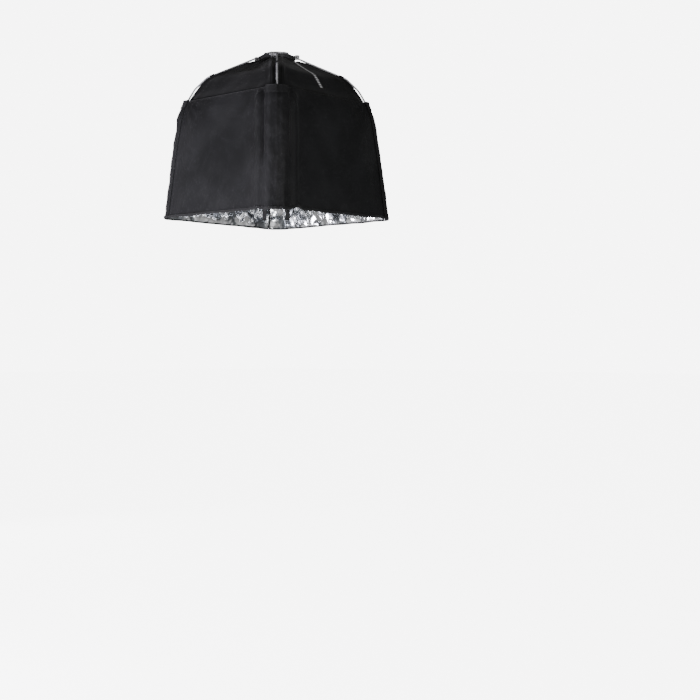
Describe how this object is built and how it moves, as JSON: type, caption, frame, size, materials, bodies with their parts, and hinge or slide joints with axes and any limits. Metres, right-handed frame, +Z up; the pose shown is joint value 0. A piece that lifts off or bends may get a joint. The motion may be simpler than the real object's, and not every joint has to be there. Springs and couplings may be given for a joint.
{
  "type": "octagonal softbox",
  "caption": "Square-plan cloth softbox with cut-off corners, hung opening-down, with folding outer rods and a turning adapter ring for a studio light.",
  "frame": {"origin": "centre of the light's seat on the adapter ring", "axes": "+Z up the bore towards the light; the opening faces -Z; the four walls face +X, +Y, -X and -Y, -Y being the front"},
  "size_m": [0.737, 0.737, 0.778],
  "materials": {
    "black_nylon": "closely woven coated nylon, silver inside",
    "black_webbing": "ribbed binding tape and webbing",
    "silver_cloth": "crinkled metallised cloth",
    "patch_weave": "plain woven patch",
    "rod_metal": "satin drawn rod",
    "bright_steel": "brushed plate",
    "screw_steel": "plated",
    "ring_metal": "black anodised",
    "adapter_metal": "turned, clear anodised",
    "black_plastic": "moulded, fine texture"
  },
  "bodies": {
    "hub": {"adapter_ring": "adapter_metal", "retainer_ring": "ring_metal", "retainer_screws": "screw_steel"},
    "box": {"speed_ring": "ring_metal", "bracket_screws": "screw_steel", "roof_collar": "black_nylon", "label_patch": "patch_weave", "rib_bracket_front_right": "bright_steel", "rib_bracket_back_right": "bright_steel", "rib_bracket_back_left": "bright_steel", "rib_bracket_front_left": "bright_steel", "wall_panel_right": "black_nylon", "wall_hem_right": "black_webbing", "roof_gore_right": "black_nylon", "wall_panel_back": "black_nylon", "wall_hem_back": "black_webbing", "roof_gore_back": "black_nylon", "wall_panel_left": "black_nylon", "wall_hem_left": "black_webbing", "roof_gore_left": "black_nylon", "wall_panel_front": "black_nylon", "wall_hem_front": "black_webbing", "roof_gore_front": "black_nylon"},
    "knob": {"lock_knob": "black_plastic", "lock_stud": "screw_steel"},
    "rib_front_right": {"rib_rod_front_right": "rod_metal", "pin_clip_front_right": "screw_steel", "rod_tip_front_right": "black_plastic", "keeper_front_right": "black_webbing", "ridge_strip_front_right": "black_nylon", "corner_band_front_right": "black_nylon", "pocket_mouth_front_right": "black_webbing", "corner_hem_front_right": "black_webbing", "tie_tab_left": "black_webbing", "tie_tab_right": "black_webbing"},
    "rib_back_right": {"rib_rod_back_right": "rod_metal", "pin_clip_back_right": "screw_steel", "rod_tip_back_right": "black_plastic", "keeper_back_right": "black_webbing", "ridge_strip_back_right": "black_nylon", "corner_band_back_right": "black_nylon", "pocket_mouth_back_right": "black_webbing", "corner_hem_back_right": "black_webbing"},
    "rib_back_left": {"rib_rod_back_left": "rod_metal", "pin_clip_back_left": "screw_steel", "rod_tip_back_left": "black_plastic", "keeper_back_left": "black_webbing", "ridge_strip_back_left": "black_nylon", "corner_band_back_left": "black_nylon", "pocket_mouth_back_left": "black_webbing", "corner_hem_back_left": "black_webbing"},
    "rib_front_left": {"rib_rod_front_left": "rod_metal", "pin_clip_front_left": "screw_steel", "rod_tip_front_left": "black_plastic", "keeper_front_left": "black_webbing", "ridge_strip_front_left": "black_nylon", "corner_band_front_left": "black_nylon", "pocket_mouth_front_left": "black_webbing", "corner_hem_front_left": "black_webbing"}
  },
  "joints": [
    {"name": "box_turn", "type": "hinge", "parent": "hub", "child": "box", "pos_m": [0, 0, -0.012], "axis": [0, 0, 1], "continuous": true},
    {"name": "lock_knob_turn", "type": "hinge", "parent": "box", "child": "knob", "pos_m": [0, 0.09, -0.012], "axis": [0, 1, 0], "range_deg": [0, 180]},
    {"name": "fold_front_right", "type": "hinge", "parent": "box", "child": "rib_front_right", "pos_m": [0.06435, -0.06435, -0.012], "axis": [0.7071, 0.7071, 0], "range_deg": [0, 17]},
    {"name": "fold_back_right", "type": "hinge", "parent": "box", "child": "rib_back_right", "pos_m": [0.06435, 0.06435, -0.012], "axis": [-0.7071, 0.7071, 0], "range_deg": [0, 17]},
    {"name": "fold_back_left", "type": "hinge", "parent": "box", "child": "rib_back_left", "pos_m": [-0.06435, 0.06435, -0.012], "axis": [-0.7071, -0.7071, 0], "range_deg": [0, 17]},
    {"name": "fold_front_left", "type": "hinge", "parent": "box", "child": "rib_front_left", "pos_m": [-0.06435, -0.06435, -0.012], "axis": [0.7071, -0.7071, 0], "range_deg": [0, 17]}
  ],
  "couplings": [
    {"joint": "fold_back_right", "follows": "fold_front_right", "ratio": 1},
    {"joint": "fold_back_left", "follows": "fold_front_right", "ratio": 1},
    {"joint": "fold_front_left", "follows": "fold_front_right", "ratio": 1}
  ]
}
